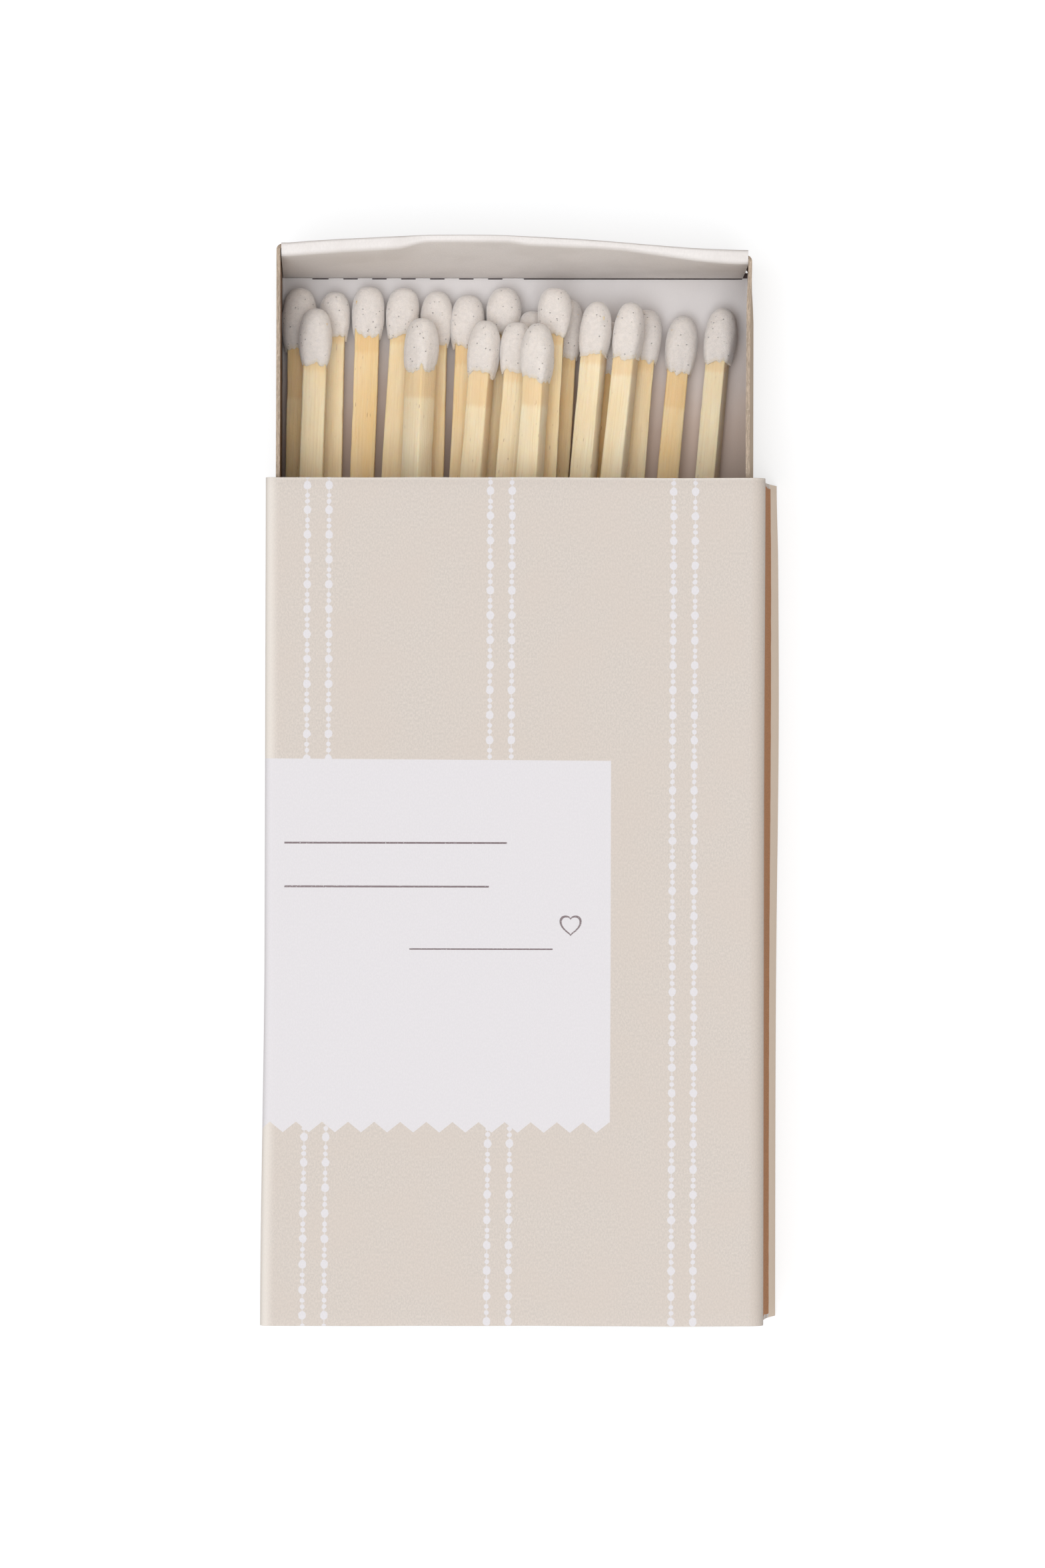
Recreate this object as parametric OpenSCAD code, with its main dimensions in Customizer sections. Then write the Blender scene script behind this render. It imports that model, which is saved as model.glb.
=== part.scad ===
// Slide matchbox: a folded board sleeve, a folded board tray pulled part of
// the way out, a striker coat on one side of the sleeve, and loose matches
// lying in the tray. The box lies on its back panel. X runs across the box,
// Y along it towards the open end of the tray, and Z up out of the front
// panel. The origin is on the back panel, under the middle of the sleeve.
// Everything is in millimetres.

/* [Matches] */
// Side of a square match stick
stick_w = 3.05; // [2.4:0.05:3.8]
// Thickness of the head's coat over each side of the stick
head_coat = 0.525; // [0.4:0.005:0.7]
// Length of a whole match with its head
match_l = 96; // [75:1:125]
// Length of a match head
head_l = 7.2; // [6:0.1:9]
// Head beyond the end of the stick inside it
tip_cover = 2; // [1.2:0.1:2.5]
// How far the head's rounded corners stand out past its flats
head_corner = 0.4; // [0.3:0.05:0.5]
// Thickness of the head's coat at its thin lower end
neck_coat = 0.35; // [0.25:0.05:0.4]
// Gap between heads that lie side by side
head_gap = 0.35; // [0.3:0.05:1]
// Gap between a match and what it lies on
rest_gap = 0.05; // [0.04:0.01:0.1]

/* [Tray] */
// Thickness of the folded board of the tray and the sleeve
card_t = 0.5; // [0.35:0.05:0.7]
// Height of the tray outside
tray_h = 17.8; // [15.5:0.1:30]
// Room along the inside of the tray beyond the length of one match
match_play = 8.2; // [7.6:0.1:16]
// Gap between the outermost match and a side wall
wall_gap = 0.1; // [0.05:0.05:3]
// Width of the folded rim on the two end walls
rim_w = 2.2; // [1.9:0.1:3.5]
// Radius of the rim's two folds
rim_r = 0.6; // [0.5:0.05:0.8]
// How far the middle of the open end's rim is pushed outwards
end_bow = 1.9; // [0:0.1:3]
// How much narrower that rim is at the middle of its bow
rim_pinch = 0.4; // [0:0.1:0.6]
// How far the open end's inner panel leans outwards at its corners
end_lean = 0.3; // [0:0.05:0.4]
// Gap between an end wall and the side walls
corner_gap = 0.25; // [0.1:0.05:0.6]
// Length of the side walls' tabs, tucked into the end walls
tab_l = 5; // [3:0.5:6]
// How far the tabs stop below the rim
tab_drop = 0.8; // [0.7:0.1:3]
// Length of one slit in the perforated crease
slit_l = 1.9; // [1:0.1:3]
// Width of that slit
slit_w = 0.25; // [0.15:0.05:0.4]
// Board left between two slits
slit_bridge = 1.9; // [1:0.1:3]
// Depth of the scored crease beside the slits
score_d = 0.3; // [0.1:0.05:0.3]

/* [Sleeve] */
// Gap between the tray and each side of the sleeve
side_gap = 1; // [0.7:0.05:2]
// Gap under the tray
under_gap = 0.1; // [0.05:0.05:0.4]
// Gap over the tray
over_gap = 1.1; // [0.4:0.1:3]
// How far each end of the closed tray lies inside the sleeve
end_inset = 0.1; // [0:0.1:2]
// How far the striker side leans out towards the back panel
side_splay = 2; // [0:0.1:2.5]
// Outside radius of the soft fold between the front and the striker side
front_fold_r = 1.8; // [0.8:0.1:2.5]
// Outside radius of the three crisp folds
fold_r = 0.9; // [0.7:0.1:1.5]
// Height of the glue lap inside the plain side
lap_h = 14; // [8:0.5:15]

/* [Striker] */
// Width of the striker coat
striker_w = 10.8; // [6:0.1:13]
// Thickness of the striker coat
striker_t = 0.12; // [0.08:0.01:0.2]

/* [Pose] */
// How far the tray is pulled out of the sleeve
tray_out = 29.5; // [0:0.5:80]

/* [Hidden] */
// One row per match: where its head lies across the tray and where its foot
// lies, both counted in row pitches from the middle, then its layer, how far
// its tip lies back from the end wall, and its turn about its own length.
MATCHES = [
    [-6.25, -6.4, 0, 1.5, 0],
    [-5.9, -6.3, 1, 4.5, 0],
    [-5.3, -5.65, 0, 2, 0],
    [-4.35, -4.9, 0, 1.3, 0],
    [-3.4, -4.1, 0, 1.5, 0],
    [-2.8, -3.55, 1, 5.8, 40],
    [-2.45, -2.85, 0, 1.9, 0],
    [-1.5, -2.1, 0, 2.4, 0],
    [-0.5, -1.3, 0, 1.4, 0],
    [-1.05, -2.65, 1, 6.1, 16],
    [0, -1.4, 1, 6.3, 0],
    [0.6, -0.65, 2, 6.8, 20],
    [0.45, -0.55, 0, 4.5, 0],
    [1.05, -0.45, 1, 1.8, 0],
    [1.55, 0.2, 0, 2.9, 0],
    [2.25, 0.35, 1, 3.6, 16],
    [3.25, 1.14, 1, 3.7, 16],
    [3.75, 2.1, 0, 4.3, 0],
    [4.8, 2.9, 0, 5.1, 0],
    [5.9, 3.8, 0, 4.1, 16],
    [2.65, 1, 0, 5.8, 0]
];
MATCH_COUNT = len(MATCHES);

head_w = stick_w + 2 * head_coat;
head_r = head_w / 2 + head_corner;
neck_r = stick_w / 2 + neck_coat;
row_pitch = head_w + head_gap;

// The tray is as wide as the matches that lie in it.
outer_edges = [for (m = MATCHES) max(
    abs(m[0]) * row_pitch + head_w / 2,
    abs(m[1]) * row_pitch + stick_w / 2
)];
tray_in_w = 2 * (max(outer_edges) + wall_gap);
tray_w = tray_in_w + 2 * card_t;
tray_in_l = match_l + match_play;
tray_l = tray_in_l + 2 * rim_w;

sleeve_w = tray_w + 2 * side_gap + 2 * card_t;
sleeve_l = tray_l + 2 * end_inset;
sleeve_h = tray_h + under_gap + over_gap + 2 * card_t;

tray_y = sleeve_l / 2 - end_inset + tray_out - tray_l / 2;
tray_z = card_t + under_gap;
crease_y = tray_in_l / 2;

tab_r = (rim_w + card_t) / 2;
end_wall_w = tray_in_w - 2 * corner_gap;
STATIONS = 16;
RIM_STEPS = 3;
HEAD_STEPS = 8;
OVERLAP = 0.2;

side_lean = atan(side_splay / sleeve_h);

function match_name(i, piece) = str("match_", i < 9 ? "0" : "", i + 1, "_", piece);

// ---- Folded board outlines ----

function unit(v) = v / norm(v);

// Where a fold's arc starts or ends: on the edge from a corner towards a
// neighbour, at the arc's tangent point.
function fold_point(corner, towards, away, r) =
    let (a = unit(towards - corner))
    let (b = unit(away - corner))
    let (half = acos(a * b) / 2)
    corner + a * r / tan(half);

function fold_centre(corner, before, after, r) =
    let (a = unit(before - corner))
    let (b = unit(after - corner))
    let (half = acos(a * b) / 2)
    corner + unit(a + b) * r / sin(half);

// A four-sided outline with each corner rounded to its own radius.
module rounded_outline(corners, radii) {
    count = len(corners);
    points = [for (i = [0 : count - 1]) each [
        fold_point(corners[i], corners[(i + count - 1) % count], corners[(i + 1) % count], radii[i]),
        fold_point(corners[i], corners[(i + 1) % count], corners[(i + count - 1) % count], radii[i])
    ]];
    polygon(points);
    for (i = [0 : count - 1])
        translate(fold_centre(corners[i], corners[(i + count - 1) % count], corners[(i + 1) % count], radii[i]))
            circle(r = radii[i], $fn = 48);
}

// The sleeve's section across the box, shrunk by an inset for its inside.
module sleeve_section(inset) {
    slope = side_splay / sleeve_h;
    slant = inset / cos(side_lean);
    left = -sleeve_w / 2 + inset;
    low = inset;
    high = sleeve_h - inset;
    right_low = sleeve_w / 2 + side_splay - slant - slope * low;
    right_high = sleeve_w / 2 + side_splay - slant - slope * high;
    rounded_outline(
        [[left, low], [right_low, low], [right_high, high], [left, high]],
        [fold_r - inset, fold_r - inset, front_fold_r - inset, fold_r - inset]
    );
}

// Stands a section drawn across the box up and runs it along the box.
module along_box(length) {
    translate([0, length / 2, 0])
        rotate([90, 0, 0])
            linear_extrude(length)
                children();
}

// ---- Sleeve ----

module sleeve() {
    color([0.87, 0.83, 0.79]) {
        along_box(sleeve_l)
            difference() {
                sleeve_section(0);
                sleeve_section(card_t);
            }
        glue_lap();
    }
}

// The flap that closes the blank, glued inside the plain side.
module glue_lap() {
    translate([-sleeve_w / 2 + card_t - OVERLAP, -sleeve_l / 2, card_t - OVERLAP])
        cube([card_t + OVERLAP, sleeve_l, lap_h + OVERLAP]);
}

// ---- Striker ----

module striker_strip() {
    color([0.63, 0.46, 0.34])
        translate([sleeve_w / 2 + side_splay, 0, 0])
            rotate([0, -side_lean, 0])
                translate([0, -sleeve_l / 2, (sleeve_h / cos(side_lean) - striker_w) / 2])
                    cube([striker_t, sleeve_l, striker_w]);
}

// ---- Tray ----

// How far the rim is pushed out at a place u across it, from -1 to 1.
function bow_at(u) = (1 + cos(180 * u)) / 2;

function arc_points(centre, r, from, to, steps) =
    [for (i = [0 : steps]) let (a = from + (to - from) * i / steps) centre + r * [cos(a), sin(a)]];

// Section of a double end wall, as [distance out from the crease, height]:
// up the inner panel, over the rim and down the outer panel.
function end_section(lean, bow, pinch) =
    let (inner = lean + bow + pinch)
    let (outer = rim_w + bow)
    concat(
        [[rim_w, 0]],
        arc_points([outer - rim_r, tray_h - rim_r], rim_r, 0, 90, RIM_STEPS),
        arc_points([inner + rim_r, tray_h - rim_r], rim_r, 90, 180, RIM_STEPS),
        [
            [0, 0],
            [card_t, 0],
            [inner + card_t, tray_h - card_t],
            [outer - card_t, tray_h - card_t],
            [rim_w - card_t, 0]
        ]
    );

// Triangles over that section, between the board's outside, whose points run
// from 0 to size - 5, and its inside, which has the last four points.
function strip_triangles(size) =
    let (turn = RIM_STEPS + 1)
    let (near = size - 3)
    let (far = size - 2)
    concat(
        [[0, 1, far], [0, far, size - 1]],
        [for (j = [1 : turn - 1]) [j, j + 1, far]],
        [[turn, turn + 1, near], [turn, near, far]],
        [for (j = [turn + 1 : 2 * turn - 1]) [j, j + 1, near]],
        [[2 * turn, size - 5, near], [size - 5, size - 4, near]]
    );

// The rear end wall, straight and upright.
module straight_end_wall() {
    rotate([90, 0, 90])
        translate([0, 0, -end_wall_w / 2])
            linear_extrude(end_wall_w)
                polygon(end_section(0, 0, 0));
}

// The open end wall, bowed outwards at its rim, as one skin over sections
// placed side by side across the tray.
module bowed_end_wall() {
    sections = [for (i = [0 : STATIONS])
        let (u = 2 * i / STATIONS - 1)
        end_section(end_lean, end_bow * bow_at(u), rim_pinch * bow_at(u))];
    size = len(sections[0]);
    points = [for (i = [0 : STATIONS]) each
        [for (p = sections[i]) [end_wall_w * (i / STATIONS - 0.5), p[0], p[1]]]];
    skin = [for (i = [0 : STATIONS - 1]) for (j = [0 : size - 1])
        let (a = i * size + j)
        let (b = i * size + (j + 1) % size)
        each [[a, a + size, b + size], [a, b + size, b]]];
    cap = strip_triangles(size);
    last = STATIONS * size;
    far_cap = [for (t = cap) [t[2] + last, t[1] + last, t[0] + last]];
    polyhedron(points, concat(skin, cap, far_cap), convexity = 6);
}

// Plan of a side wall: a straight strip whose ends turn into tabs.
module side_wall_plan() {
    straight = tray_in_l + 2 * (rim_w - tab_r - tab_back());
    translate([0, -straight / 2])
        square([card_t, straight]);
    for (end = [0, 1])
        mirror([0, end])
            translate([tab_r, straight / 2]) {
                intersection() {
                    difference() {
                        circle(r = tab_r, $fn = 48);
                        circle(r = tab_r - card_t, $fn = 48);
                    }
                    translate([-tab_r, 0])
                        square(tab_r);
                }
                translate([-OVERLAP / 10, tab_r - card_t])
                    square([tab_l, card_t]);
            }
}

// How far the tabs' outside lies behind the outside of the end wall.
function tab_back() = card_t + (rim_w - 3 * card_t - end_lean) / 2;

module side_wall() {
    linear_extrude(tray_h - tab_drop)
        side_wall_plan();
    translate([0, -tray_in_l / 2, 0])
        cube([card_t, tray_in_l, tray_h]);
}

// The slits and the score that weaken the crease of the open end.
module crease_cuts() {
    step = slit_l + slit_bridge;
    count = floor((tray_in_w / 2 - slit_bridge) / step);
    translate([0, crease_y - slit_w, 0]) {
        for (i = [1 : count])
            translate([-i * step, 0, -OVERLAP])
                cube([slit_l, slit_w, card_t + 2 * OVERLAP]);
        translate([slit_bridge, 0, card_t - score_d])
            cube([tray_in_w / 2 - 2 * slit_bridge, slit_w, score_d + OVERLAP]);
    }
}

module tray_body() {
    difference() {
        translate([-tray_w / 2, -tray_in_l / 2 - OVERLAP, 0])
            cube([tray_w, tray_in_l + 2 * OVERLAP, card_t]);
        crease_cuts();
    }
    for (side = [0, 1])
        mirror([side, 0, 0])
            translate([-tray_w / 2, 0, 0])
                side_wall();
    translate([0, crease_y, 0])
        bowed_end_wall();
    translate([0, -crease_y, 0])
        rotate([0, 0, 180])
            straight_end_wall();
}

module tray() {
    color([0.9, 0.88, 0.87])
        translate([0, tray_y, tray_z])
            tray_body();
}

// ---- Matches ----

// Half the height of a square of side w, turned about its middle.
function half_square(w, turn) = w / 2 * (cos(turn) + sin(turn));

// Half the height of a head, whose flats are cut by a round of radius head_r.
function half_head(turn) =
    let (flat_end = acos(head_w / 2 / head_r))
    let (nearest = min(turn, 90 - turn))
    head_r * cos(max(0, flat_end - nearest));

// Puts what is drawn along -Y from its tip where match i lies.
module place_match(i) {
    m = MATCHES[i];
    floor_z = tray_z + card_t + rest_gap;
    foot_z = floor_z + m[2] * (stick_w + rest_gap) + half_square(stick_w, m[4]);
    head_z = floor_z + m[2] * (head_w + rest_gap) + half_head(m[4]);
    slope = (head_z - foot_z) / (match_l - head_r);
    across = (m[0] - m[1]) * row_pitch;
    translate([m[0] * row_pitch, tray_y + crease_y - m[3], head_z + slope * head_r])
        rotate([0, 0, -asin(across / match_l)])
            rotate([atan(slope), 0, 0])
                rotate([0, -m[4], 0])
                    children();
}

// The square stick, in the match's own frame.
module stick_solid() {
    translate([-stick_w / 2, -match_l, -stick_w / 2])
        cube([stick_w, match_l - tip_cover, stick_w]);
}

// Half the outline of a head: a round tip that runs into a narrower neck.
module head_outline() {
    tip_centre = [0, -head_r];
    neck_centre = [0, neck_r - head_l];
    turn = asin((head_r - neck_r) / (head_l - head_r - neck_r));
    polygon(concat(
        arc_points(tip_centre, head_r, 90, -turn, HEAD_STEPS),
        arc_points(neck_centre, neck_r, -turn, -90, HEAD_STEPS)
    ));
}

module match_stick(i) {
    color([0.89, 0.79, 0.6])
        place_match(i)
            stick_solid();
}

module match_head(i) {
    color([0.89, 0.88, 0.87])
        place_match(i)
            difference() {
                intersection() {
                    rotate([-90, 0, 0])
                        rotate_extrude($fn = 64)
                            head_outline();
                    translate([-head_w / 2, -head_l, -head_w / 2])
                        cube([head_w, head_l, head_w]);
                }
                stick_solid();
            }
}

sleeve();
striker_strip();
tray();
for (i = [0 : MATCH_COUNT - 1]) {
    match_stick(i);
    match_head(i);
}
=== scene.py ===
import math
import random

import bmesh
import bpy
from mathutils import Matrix, Vector, noise


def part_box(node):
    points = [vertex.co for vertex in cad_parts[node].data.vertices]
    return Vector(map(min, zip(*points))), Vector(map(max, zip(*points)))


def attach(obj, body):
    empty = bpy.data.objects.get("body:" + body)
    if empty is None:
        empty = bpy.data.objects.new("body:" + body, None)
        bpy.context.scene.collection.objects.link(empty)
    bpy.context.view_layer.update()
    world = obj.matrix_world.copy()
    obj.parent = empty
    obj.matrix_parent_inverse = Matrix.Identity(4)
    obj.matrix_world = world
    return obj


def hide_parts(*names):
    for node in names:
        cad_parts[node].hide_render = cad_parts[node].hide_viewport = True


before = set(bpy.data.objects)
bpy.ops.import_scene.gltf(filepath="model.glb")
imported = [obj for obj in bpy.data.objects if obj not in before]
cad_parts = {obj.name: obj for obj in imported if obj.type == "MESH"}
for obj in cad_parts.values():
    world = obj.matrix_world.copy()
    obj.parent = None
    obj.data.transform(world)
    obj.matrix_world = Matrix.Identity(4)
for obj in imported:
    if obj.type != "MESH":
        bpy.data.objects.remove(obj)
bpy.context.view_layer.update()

bl_info = {
    "name": "Slide matchbox",
    "version": (1, 0, 0),
    "blender": (4, 5, 0),
    "location": "3D View > Sidebar > Matchbox",
    "description": "Builds a printed slide matchbox and its matches round a fixed frame",
    "category": "Object",
}

MM = 0.001

# How far light travels inside the wood and the heads, in millimetres.
SOAK_DEPTH = 0.9

SLEEVE_BODY = "outer_sleeve"
TRAY_BODY = "loaded_tray"


def srgb(red, green, blue):
    """A colour written in 0 to 255 screen values, as linear light."""
    return tuple(
        c / 255 / 12.92 if c / 255 <= 0.04045 else ((c / 255 + 0.055) / 1.055) ** 2.4
        for c in (red, green, blue)
    )


def shade(base, share):
    """A colour made darker or lighter by a share, up to white."""
    return tuple(min(1, c * share) for c in base)


def ramp(low, high, value):
    """A smooth step from 0 at low to 1 at high."""
    t = min(1, max(0, (value - low) / (high - low)))
    return t * t * (3 - 2 * t)


def hump(middle, spread, value):
    """A bell of height 1 at the middle."""
    return math.exp(-(((value - middle) / spread) ** 2))


# ---- Settings ----


def level(name, description, default, high, low=0, **more):
    return bpy.props.FloatProperty(
        name=name, description=description, default=default, min=low, max=high, **more)


def length(name, description, default, low, high):
    return level(name, description, default * MM, high * MM, low * MM,
                 unit="LENGTH", precision=5)


def colour(name, description, default):
    return bpy.props.FloatVectorProperty(
        name=name, description=description, default=srgb(*default),
        size=3, min=0, max=1, subtype="COLOR",
    )


class SleeveSettings(bpy.types.PropertyGroup):
    """Sizes and colours of the printed sleeve."""

    board: length("Board", "Thickness of the folded board", 0.5, 0.3, 0.8)
    flare: length("Flare", "How far the striker side flares out at the back panel", 2.2, 0, 3)
    lap: length("Glue lap", "Height of the flap glued inside the plain side", 14.5, 5, 16)
    paper: colour("Paper", "Colour of the printed paper", (207, 197, 188))
    print_white: colour("Print", "Colour of the printed beads and of the label", (222, 218, 220))
    ink: colour("Ink", "Colour of the thin lines on the label", (104, 84, 86))
    inside: colour("Inside", "Colour of the board inside the sleeve", (214, 205, 192))


class StrikerSettings(bpy.types.PropertyGroup):
    """Size and colour of the striker coat."""

    coat: length("Coat", "Thickness of the striker coat", 0.12, 0.05, 0.3)
    trim: length("Trim", "How far the coat stops short of each mouth", 0.6, 0, 3)
    grit: colour("Grit", "Colour of the gritty coat", (196, 139, 97))


class TraySettings(bpy.types.PropertyGroup):
    """Sizes and colours of the folded tray."""

    board: length("Board", "Thickness of the folded board", 0.5, 0.3, 0.8)
    fold: length("Fold", "Inside radius of the folds along the floor", 0.3, 0.1, 1)
    rim: length("Rim", "Width of the rim over an end wall", 2.2, 1.5, 3)
    liner: colour("Liner", "Colour of the white lined side of the board", (233, 227, 223))
    # Painted shade: this dark brown is laid on the side walls' inner faces for the deep shade that
    # falls there.
    wall: colour("Wall", "Painted shade on the side walls' inner faces", (124, 97, 76))
    outside: colour("Outside", "Colour of the plain side of the board", (206, 186, 164))
    cut: colour("Cut edge", "Colour of the board's cut edges", (184, 165, 146))


class MatchSettings(bpy.types.PropertyGroup):
    """Shapes and colours of the matches."""

    edge: length("Edge", "How far a stick's long edges are rounded off", 0.16, 0.05, 0.4)
    warp: length("Warp", "How far a stick wanders from a straight line", 0.14, 0, 0.3)
    rag: length("Rag", "How far a head's lower edge runs up and down the stick", 0.34, 0, 0.8)
    seed: bpy.props.IntProperty(
        name="Seed", description="Picks another set of sticks and heads", default=7, min=0, max=999
    )
    wood: colour("Wood", "Colour of the palest wood", (247, 230, 196))
    wood_deep: colour("Deep wood", "Colour of the warmest wood", (240, 203, 142))
    head: colour("Head", "Colour of the head composition", (230, 221, 213))
    # The specks are dark grains of the head; in the pits this colour is painted shade in the
    # hollows.
    speck_and_pit_shade: colour("Pits", "Colour of the specks and pits in a head", (142, 132, 130))


class StageSettings(bpy.types.PropertyGroup):
    """Lamps, floor and camera."""

    sky: level("Sky", "Level of the light from all round", 0.5, 2)
    lamp: level("Lamp", "Strength of the soft lamp", 1.87, 10)
    fill: level("Fill", "Strength of the low lamp in front", 0.45, 5)
    softness: level("Softness", "How wide the lamp looks from the box", math.radians(44),
                    math.pi / 2, subtype="ANGLE")
    lens: level("Lens", "Focal length in millimetres", 152.3, 300, 20)
    floor: colour("Floor", "Colour of the floor", (172, 172, 172))


# ---- Materials ----


class Wire:
    """A node's output, on which sums are written as sums."""

    def __init__(self, finish, socket):
        self.finish = finish
        self.socket = socket

    def __add__(self, other):
        return self.finish.sum("ADD", self, other)

    def __sub__(self, other):
        return self.finish.sum("SUBTRACT", self, other)

    def __rsub__(self, other):
        return self.finish.sum("SUBTRACT", other, self)

    def __mul__(self, other):
        return self.finish.sum("MULTIPLY", self, other)

    def __abs__(self):
        return self.finish.sum("ABSOLUTE", self)

    def __mod__(self, other):
        return self.finish.sum("FLOORED_MODULO", self, other)

    def at_least(self, other):
        return self.finish.sum("MAXIMUM", self, other)

    def at_most(self, other):
        return self.finish.sum("MINIMUM", self, other)

    def power(self, other):
        return self.finish.sum("POWER", self, other)

    __radd__, __rmul__ = __add__, __mul__


class Finish:
    """The nodes of a material, or of the world."""

    def __init__(self, owner):
        self.owner = owner
        owner.use_nodes = True
        self.tree = owner.node_tree
        self.tree.nodes.clear()

    @classmethod
    def named(cls, name):
        return cls(bpy.data.materials.new(name))

    def add(self, kind, sockets=None, output=0, **settings):
        """Makes a node: its settings first, then the values or links of its sockets."""
        node = self.tree.nodes.new(kind)
        for key, value in settings.items():
            setattr(node, key, value)
        for key, value in (sockets or {}).items():
            if isinstance(value, Wire):
                self.tree.links.new(value.socket, node.inputs[key])
            elif node.inputs[key].type == "RGBA":
                node.inputs[key].default_value = (*value, 1)
            else:
                node.inputs[key].default_value = value
        return Wire(self, node.outputs[output]) if node.outputs else node

    def sum(self, operation, *terms):
        return self.add("ShaderNodeMath", dict(enumerate(terms)), operation=operation)

    def step(self, value, low, high):
        """0 below low and 1 above high, or the other way round when high is the lower."""
        turned = high < low
        limits = {"Value": value, "From Min": min(low, high), "From Max": max(low, high),
                  "To Min": 1.0 if turned else 0.0, "To Max": 0.0 if turned else 1.0}
        return self.add("ShaderNodeMapRange", limits, interpolation_type="SMOOTHSTEP")

    def blend(self, amount, low, high, mode="MIX"):
        return self.add(
            "ShaderNodeMix", {0: amount, 6: low, 7: high}, output=2,
            data_type="RGBA", blend_type=mode,
        )

    def attribute(self, name, output="Vector"):
        return self.add("ShaderNodeAttribute", output=output, attribute_name=name)

    def object_place(self):
        """Object coordinates in millimetres."""
        place = self.add("ShaderNodeTexCoord", output="Object")
        return self.scaled(place, (1 / MM, 1 / MM, 1 / MM))

    def scaled(self, vector, factors):
        return self.add("ShaderNodeVectorMath", {0: vector, 1: factors}, operation="MULTIPLY")

    def shifted(self, vector, offset):
        return self.add("ShaderNodeVectorMath", {0: vector, 1: offset}, operation="ADD")

    def parts(self, vector):
        split = self.add("ShaderNodeSeparateXYZ", {0: vector})
        return [Wire(self, socket) for socket in split.socket.node.outputs]

    def cloud(self, vector, scale, detail=2, roughness=0.5):
        """Noise from about 0.2 to 0.8, as a number."""
        return self.add("ShaderNodeTexNoise", {
            "Vector": vector, "Scale": scale, "Detail": detail, "Roughness": roughness})

    def surface(self, base, roughness, height=None, depth=0.0, specular=0.3, sheen=0.0,
                soak=0.0, soak_colour=(1.0, 1.0, 1.0)):
        """A plain surface with an optional bump, whose depth is in metres. Soak is the
        share of light that enters the surface and comes out close by, in its own colour."""
        sockets = {"Base Color": base, "Roughness": roughness,
                   "Specular IOR Level": specular, "Sheen Weight": sheen,
                   "Subsurface Weight": soak, "Subsurface Radius": soak_colour,
                   "Subsurface Scale": SOAK_DEPTH * MM}
        if height is not None:
            sockets["Normal"] = self.add(
                "ShaderNodeBump", {"Height": height, "Strength": 1.0, "Distance": depth}
            )
        shader = self.add("ShaderNodeBsdfPrincipled", sockets)
        self.add("ShaderNodeOutputMaterial", {"Surface": shader})
        return self.owner

    def layered(self, base, *layers):
        """A colour with others laid over it in turn, each as an amount and a screen colour."""
        for amount, colour_over in layers:
            base = self.blend(amount, base, srgb(*colour_over))
        return base

    def mottled(self, amount, base, low, high):
        """A colour that goes from one share of the base to another."""
        return self.blend(amount, shade(base, low), shade(base, high))

    def cells(self, vector, scale):
        """How far the nearest of many scattered points is."""
        return self.add("ShaderNodeTexVoronoi", {
            "Vector": vector, "Scale": scale, "Randomness": 1.0}, output="Distance")

    def band(self, value, middle, outer, inner):
        """A line round the middle, that fades out from inner to outer on either side."""
        return self.step(abs(value - middle), outer, inner)

    def looked_at(self):
        """1 where the camera looks, straight or by a mirror or glass, and 0 for other light."""
        rays = [self.add("ShaderNodeLightPath", output=f"Is {kind} Ray")
                for kind in ("Camera", "Glossy", "Transmission")]
        return (rays[0] + rays[1] + rays[2]).at_most(1)


# The print on the flat blank, in millimetres: across from the front's left fold and along
# from the mouth. Each stripe is two rows of beads, with two dots between one bead and the
# next. The pitch grows a little along the sleeve. A rule is its place along, the half
# widths where its edge starts and stops fading, and its left and right ends.
STRIPE_PLACE, STRIPE_PITCH, ROW_GAP = 5.4, 23.5, 2.78
BEAD_PITCH, BEAD_START, BEAD_STRETCH, BEAD_SHIFT = 3.18, 1.0, 0.00013, 0.75
DOT_PLACE, DOT_GAP = 1.705, 0.385
LABEL_LEFT, LABEL_RIGHT, LABEL_TOP, LABEL_TILT = -12.0, 44.5, 36.1, 0.0055
TOOTH_TIP, TOOTH_PITCH, TOOTH_START, TOOTH_DEPTH = 82.65, 3.34, 0.99, 1.35
RULES = ((46.9, 0.16, 0.09, 2.55, 31.15), (52.5, 0.16, 0.09, 2.55, 28.85),
         (60.5, 0.13, 0.07, 18.65, 37.05))
HEART_ACROSS, HEART_ALONG, HEART_SIZE = 39.35, 57.7, 1.05


def stripes(finish, blank, across, along):
    """How white the beaded stripes are: beads, the dots between them, and a thin thread."""
    half = STRIPE_PITCH / 2
    pair = (across - STRIPE_PLACE + half) % STRIPE_PITCH - half
    aside = abs(pair).at_most(abs(pair - ROW_GAP))
    rows = along - finish.step(across, 15, 16) * BEAD_SHIFT - along * along * BEAD_STRETCH
    in_row = (rows - BEAD_START) % BEAD_PITCH
    step_along = (in_row + BEAD_PITCH / 2) % BEAD_PITCH - BEAD_PITCH / 2
    wobble = (finish.cloud(blank, 1.9) - 0.5) * 0.26
    bead = (aside * aside * 1.12 + step_along * step_along * 0.88).power(0.5) + wobble
    dot_place = abs(in_row - DOT_PLACE) - DOT_GAP
    dot = (aside * aside + dot_place * dot_place).power(0.5) + wobble
    beads = finish.step(bead, 0.56, 0.47).at_least(finish.step(dot, 0.34, 0.26))
    return beads.at_least(finish.step(aside, 0.1, 0.05) * 0.6)


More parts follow.
